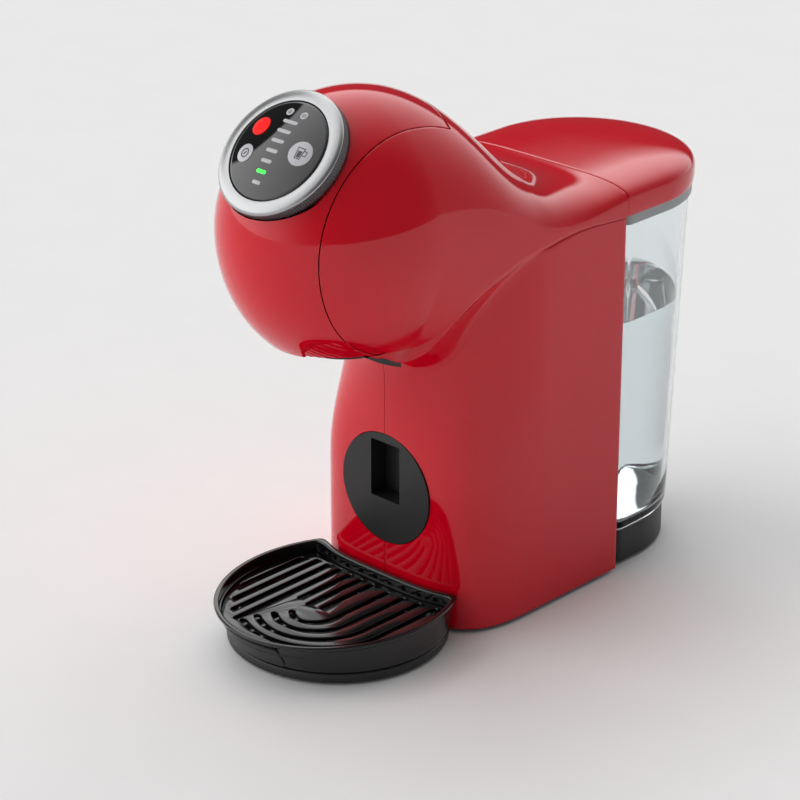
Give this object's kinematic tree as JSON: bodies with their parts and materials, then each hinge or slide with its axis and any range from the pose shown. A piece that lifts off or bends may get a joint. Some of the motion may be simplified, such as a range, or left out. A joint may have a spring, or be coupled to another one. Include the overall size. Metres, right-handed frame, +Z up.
{
  "type": "pod coffee machine",
  "caption": "Slim countertop pod coffee machine with a lifting head, turning control dial, sliding pod holder, lift-off water tank and drip tray.",
  "frame": {"origin": "centre of the footprint, on the surface the machine stands on", "axes": "+Z up, front faces -Y, +X to the right seen from the front"},
  "size_m": [0.115, 0.2952, 0.277],
  "materials": {
    "red_shell": "high gloss moulded",
    "red_inner": "moulded, unpainted",
    "black_gloss": "high gloss moulded",
    "black_matte": "fine spark-eroded texture",
    "dial_metal": "satin plated",
    "panel_gloss": "polished lens",
    "key_red": "lit from behind",
    "key_white": "printed pale grey",
    "bar_light": "light guide",
    "tank_clear": "clear, polished",
    "rim_grey": "soft grey",
    "inner_white": "moulded",
    "frame_grey": "glass-filled moulded",
    "steel": "turned",
    "aluminium": "cast",
    "silicone": "silicone",
    "rubber": "moulded",
    "board_green": "solder mask"
  },
  "bodies": {
    "machine": {"base_plate": "black_matte", "rubber_feet": "rubber", "column_shell_left": "red_shell", "column_shell_right": "red_shell", "upper_shell": "red_shell", "back_panel": "black_matte", "hook_socket": "black_matte", "cord_gland": "rubber", "head_side_plate_right": "frame_grey", "head_side_plate_left": "frame_grey", "hinge_bracket": "frame_grey", "hinge_pin": "steel", "pod_bay": "black_matte", "injector_guide": "frame_grey", "chassis": "frame_grey", "chassis_screws": "steel", "pump": "steel", "pump_mounts": "rubber", "flow_meter": "inner_white", "heater": "aluminium", "heater_bracket": "steel", "thermal_cutout": "steel", "suction_hose": "silicone", "feed_hose": "silicone", "pressure_hose": "silicone", "brew_hose": "silicone", "main_board": "board_green", "tank_dock": "black_matte"},
    "handle": {"handle_shell": "red_shell", "handle_frame": "frame_grey", "dial_seat": "black_matte", "control_panel": "panel_gloss", "level_bars": "bar_light", "status_lamps": "bar_light", "control_board": "board_green"},
    "dial": {"dial_ring": "dial_metal", "dial_grip": "dial_metal"},
    "power_key": {"power_key": "key_red"},
    "rinse_key": {"rinse_key": "key_white"},
    "cup_key": {"cup_key": "key_white"},
    "pod_holder": {"pod_holder": "black_matte"},
    "injector": {"injector": "frame_grey", "injector_seal": "silicone", "injector_needle": "steel"},
    "tank": {"water_tank": "tank_clear", "tank_rim_band": "rim_grey", "valve_housing": "inner_white", "valve_seal": "silicone"},
    "valve": {"valve_plunger": "inner_white", "valve_spring": "steel"},
    "lid": {"tank_lid": "red_shell"},
    "tray_carrier": {"tray_carrier": "black_matte", "front_plate": "black_matte", "carrier_feet": "rubber"},
    "drip_tray": {"drip_tray": "black_gloss"},
    "drip_grid": {"drip_grid": "black_gloss"}
  },
  "joints": [
    {"name": "handle_lift", "type": "hinge", "parent": "machine", "child": "handle", "pos_m": [0, -0.0205, 0.2405], "axis": [-1, 0, 0], "range_deg": [0, 40]},
    {"name": "dial_turn", "type": "hinge", "parent": "handle", "child": "dial", "pos_m": [0, -0.1186, 0.2551], "axis": [0, -0.7046, 0.7096], "continuous": true},
    {"name": "power_key_press", "type": "slide", "parent": "handle", "child": "power_key", "axis": [0, 0.7046, -0.7096], "range_m": [0, 0.0006], "stiffness_N_per_m": 1500, "springref_m": -0.0004},
    {"name": "rinse_key_press", "type": "slide", "parent": "handle", "child": "rinse_key", "axis": [0, 0.7046, -0.7096], "range_m": [0, 0.0006], "stiffness_N_per_m": 1500, "springref_m": -0.0004},
    {"name": "cup_key_press", "type": "slide", "parent": "handle", "child": "cup_key", "axis": [0, 0.7046, -0.7096], "range_m": [0, 0.0006], "stiffness_N_per_m": 1500, "springref_m": -0.0004},
    {"name": "pod_holder_slide", "type": "slide", "parent": "machine", "child": "pod_holder", "axis": [0, -1, 0], "range_m": [0, 0.05]},
    {"name": "injector_lift", "type": "slide", "parent": "machine", "child": "injector", "axis": [0, 0, 1], "range_m": [0, 0.008]},
    {"name": "tank_lift", "type": "slide", "parent": "machine", "child": "tank", "axis": [0, 0, 1], "range_m": [0, 0.12]},
    {"name": "valve_stroke", "type": "slide", "parent": "tank", "child": "valve", "axis": [0, 0, 1], "range_m": [0, 0.0015], "stiffness_N_per_m": 400, "springref_m": -0.001, "deforming": ["valve_spring"]},
    {"name": "lid_lift", "type": "slide", "parent": "tank", "child": "lid", "axis": [0, 0, 1], "range_m": [0, 0.05]},
    {"name": "carrier_pull", "type": "slide", "parent": "machine", "child": "tray_carrier", "axis": [0, -1, 0], "range_m": [0, 0.08]},
    {"name": "drip_tray_lift", "type": "slide", "parent": "tray_carrier", "child": "drip_tray", "axis": [0, 0, 1], "range_m": [0, 0.04]},
    {"name": "drip_grid_lift", "type": "slide", "parent": "drip_tray", "child": "drip_grid", "axis": [0, 0, 1], "range_m": [0, 0.03]}
  ],
  "couplings": [
    {"joint": "pod_holder_slide", "follows": "handle_lift", "m_per_rad": 0.0716},
    {"joint": "injector_lift", "follows": "handle_lift", "m_per_rad": 0.01145}
  ]
}
